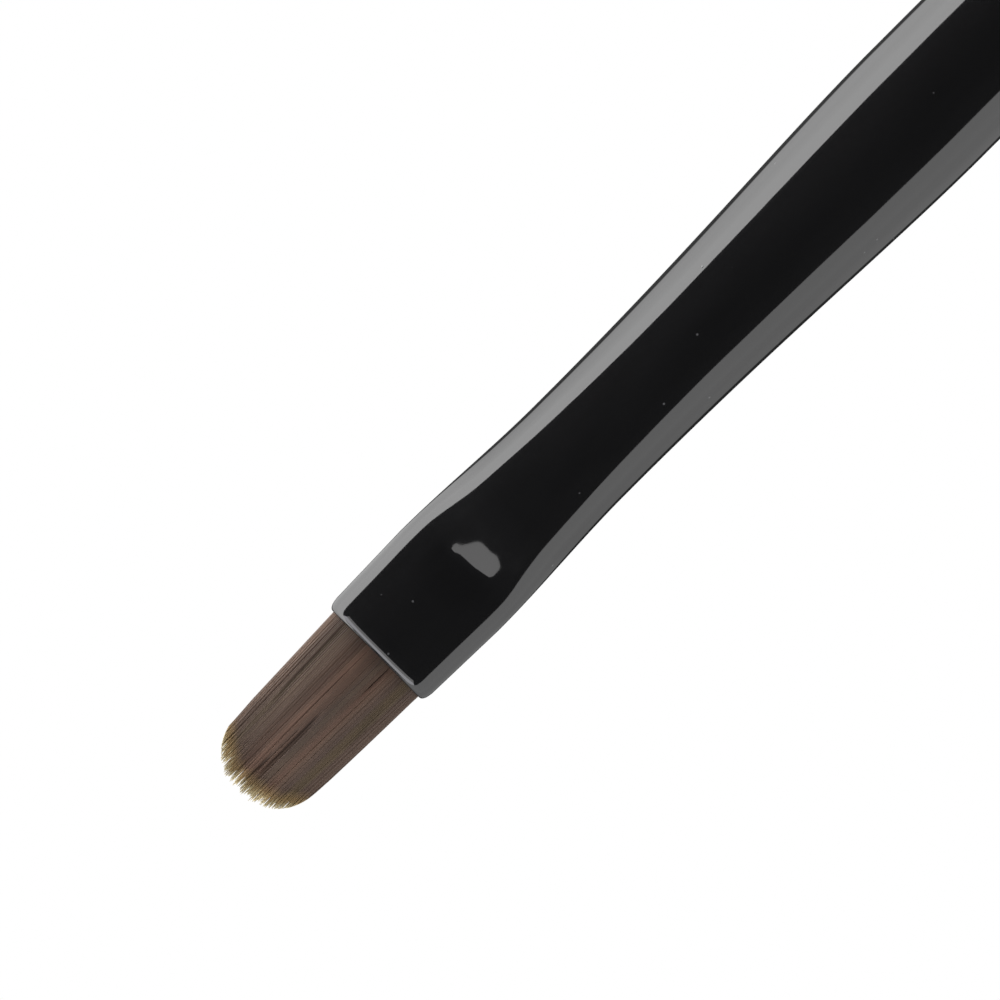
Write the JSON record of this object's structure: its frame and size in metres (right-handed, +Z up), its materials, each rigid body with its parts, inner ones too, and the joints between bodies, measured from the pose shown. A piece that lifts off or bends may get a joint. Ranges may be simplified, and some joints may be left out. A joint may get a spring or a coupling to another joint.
{
  "type": "filbert detail brush",
  "caption": "Slim detail brush with a flat, round-tipped tuft of brown filaments, a long black ferrule and a turned black handle.",
  "frame": {"origin": "on the surface the brush lies on, under the middle of its bounding box", "axes": "+X along the brush from the tips of the filaments to the handle's tail, +Z up and square to the flattened faces of the ferrule, +Y across the width of the tuft"},
  "size_m": [0.17, 0.0066, 0.0066],
  "materials": {
    "ferrule_paint": "glossy black paint on thin drawn metal",
    "filament": "satin brown synthetic filaments with golden tips",
    "thread": "matte twisted thread",
    "resin": "set amber resin",
    "tenon_glue": "dried cream glue",
    "handle_lacquer": "glossy black lacquer on turned wood"
  },
  "bodies": {
    "handle": {"handle": "handle_lacquer", "tenon_glue": "tenon_glue", "ferrule": "ferrule_paint", "root_resin": "resin", "root_binding_thread": "thread", "filament_roots": "filament"},
    "tuft": {"filament_tuft": "filament"}
  },
  "joints": [
    {"name": "tuft_bend", "type": "hinge", "parent": "handle", "child": "tuft", "pos_m": [-0.078, 0, 0.0033], "axis": [0, 1, 0], "range_deg": [-40, 40], "stiffness_Nm_per_rad": 0.0025, "deforming": ["filament_tuft"]}
  ]
}
